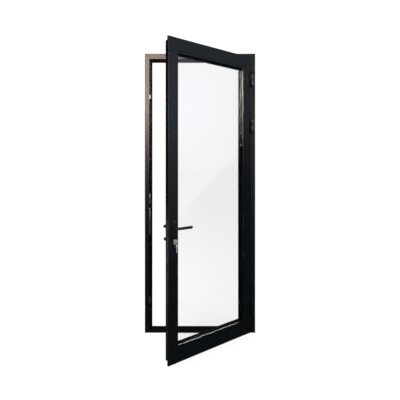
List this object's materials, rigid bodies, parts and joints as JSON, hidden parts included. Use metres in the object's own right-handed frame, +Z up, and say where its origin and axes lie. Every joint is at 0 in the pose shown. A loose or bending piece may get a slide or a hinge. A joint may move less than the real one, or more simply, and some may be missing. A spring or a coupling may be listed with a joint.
{
  "type": "aluminium hinged door",
  "caption": "Outward-opening aluminium door leaf with sealed glazing in its own frame, on surface hinges, with lever handles, key cylinder and multipoint lock.",
  "frame": {"origin": "centre of the threshold's underside, at mid depth of the frame", "axes": "+X towards the hinge jamb, +Y into the building, away from the swing, +Z up"},
  "size_m": [0.95, 0.6777, 2.4],
  "materials": {
    "black_aluminium": "satin powder coat",
    "black_hardware": "satin powder coat",
    "mill_aluminium": "mill",
    "black_rubber": "matt",
    "glass": "clear float",
    "satin_steel": "satin",
    "chrome": "bright",
    "nylon": "moulded"
  },
  "bodies": {
    "frame": {"frame_head": "black_aluminium", "frame_lock_jamb": "black_aluminium", "frame_hinge_jamb": "black_aluminium", "threshold": "black_aluminium", "frame_connectors": "mill_aluminium", "rebate_seal": "black_rubber", "frame_screws": "satin_steel", "hinge_pins": "satin_steel", "strike_main": "satin_steel", "strike_top": "satin_steel", "strike_upper": "satin_steel", "strike_bottom": "satin_steel", "upper_hinge_frame_half": "black_hardware", "middle_hinge_frame_half": "black_hardware", "lower_hinge_frame_half": "black_hardware"},
    "leaf": {"leaf_lock_stile": "black_aluminium", "leaf_hinge_stile": "black_aluminium", "leaf_top_rail": "black_aluminium", "leaf_bottom_rail": "black_aluminium", "stile_end_pieces": "nylon", "rail_connectors": "mill_aluminium", "flange_seal": "black_rubber", "lock_faceplate": "satin_steel", "leaf_screws": "satin_steel", "lock_case": "satin_steel", "side_bolt_cases": "satin_steel", "cylinder_body": "chrome", "cylinder_collars": "chrome", "front_backplate": "black_hardware", "rear_backplate": "black_hardware", "lever_bushes": "nylon", "hinge_caps": "black_hardware", "hinge_bushes": "nylon", "bead_top": "black_aluminium", "bead_bottom": "black_aluminium", "bead_lock_side": "black_aluminium", "bead_hinge_side": "black_aluminium", "outer_pane": "glass", "inner_pane": "glass", "spacer_bar": "black_hardware", "pane_edge_seal": "black_rubber", "outer_glazing_gasket": "black_rubber", "inner_glazing_gasket": "black_rubber", "setting_blocks": "nylon", "upper_hinge_leaf_half": "black_hardware", "middle_hinge_leaf_half": "black_hardware", "lower_hinge_leaf_half": "black_hardware"},
    "lever_set": {"front_lever": "black_hardware", "rear_lever": "black_hardware", "spindle": "satin_steel", "lock_follower": "satin_steel"},
    "latch": {"latch_bolt": "satin_steel"},
    "bolts": {"locking_bolts": "satin_steel"},
    "rods": {"drive_rods": "mill_aluminium"},
    "key_set": {"cylinder_plug": "chrome", "cylinder_cam": "chrome", "key": "chrome", "key_ring": "chrome", "spare_key": "chrome", "thumb_turn": "black_hardware"}
  },
  "joints": [
    {"name": "leaf_swing", "type": "hinge", "parent": "frame", "child": "leaf", "pos_m": [0.444, -0.062, 1.2], "axis": [0, 0, 1], "range_deg": [-42, 128]},
    {"name": "lever_turn", "type": "hinge", "parent": "leaf", "child": "lever_set", "pos_m": [-0.20615, -0.58483, 0.988], "axis": [-0.6691, 0.7431, 0], "range_deg": [0, 40], "stiffness_Nm_per_rad": 1.5, "springref_deg": -34.38},
    {"name": "latch_slide", "type": "slide", "parent": "leaf", "child": "latch", "axis": [0.7431, 0.6691, 0], "range_m": [0, 0.0115]},
    {"name": "key_turn", "type": "hinge", "parent": "leaf", "child": "key_set", "pos_m": [-0.20615, -0.58483, 0.896], "axis": [-0.6691, 0.7431, 0], "range_deg": [0, 360]},
    {"name": "bolt_slide", "type": "slide", "parent": "leaf", "child": "bolts", "axis": [-0.7431, -0.6691, 0], "range_m": [0, 0.02]},
    {"name": "rod_slide", "type": "slide", "parent": "leaf", "child": "rods", "axis": [0, 0, -1], "range_m": [0, 0.02]}
  ],
  "couplings": [
    {"joint": "latch_slide", "follows": "lever_turn", "m_per_rad": 0.016473},
    {"joint": "bolt_slide", "follows": "key_turn", "m_per_rad": 0.0031831},
    {"joint": "rod_slide", "follows": "key_turn", "m_per_rad": 0.0031831}
  ]
}
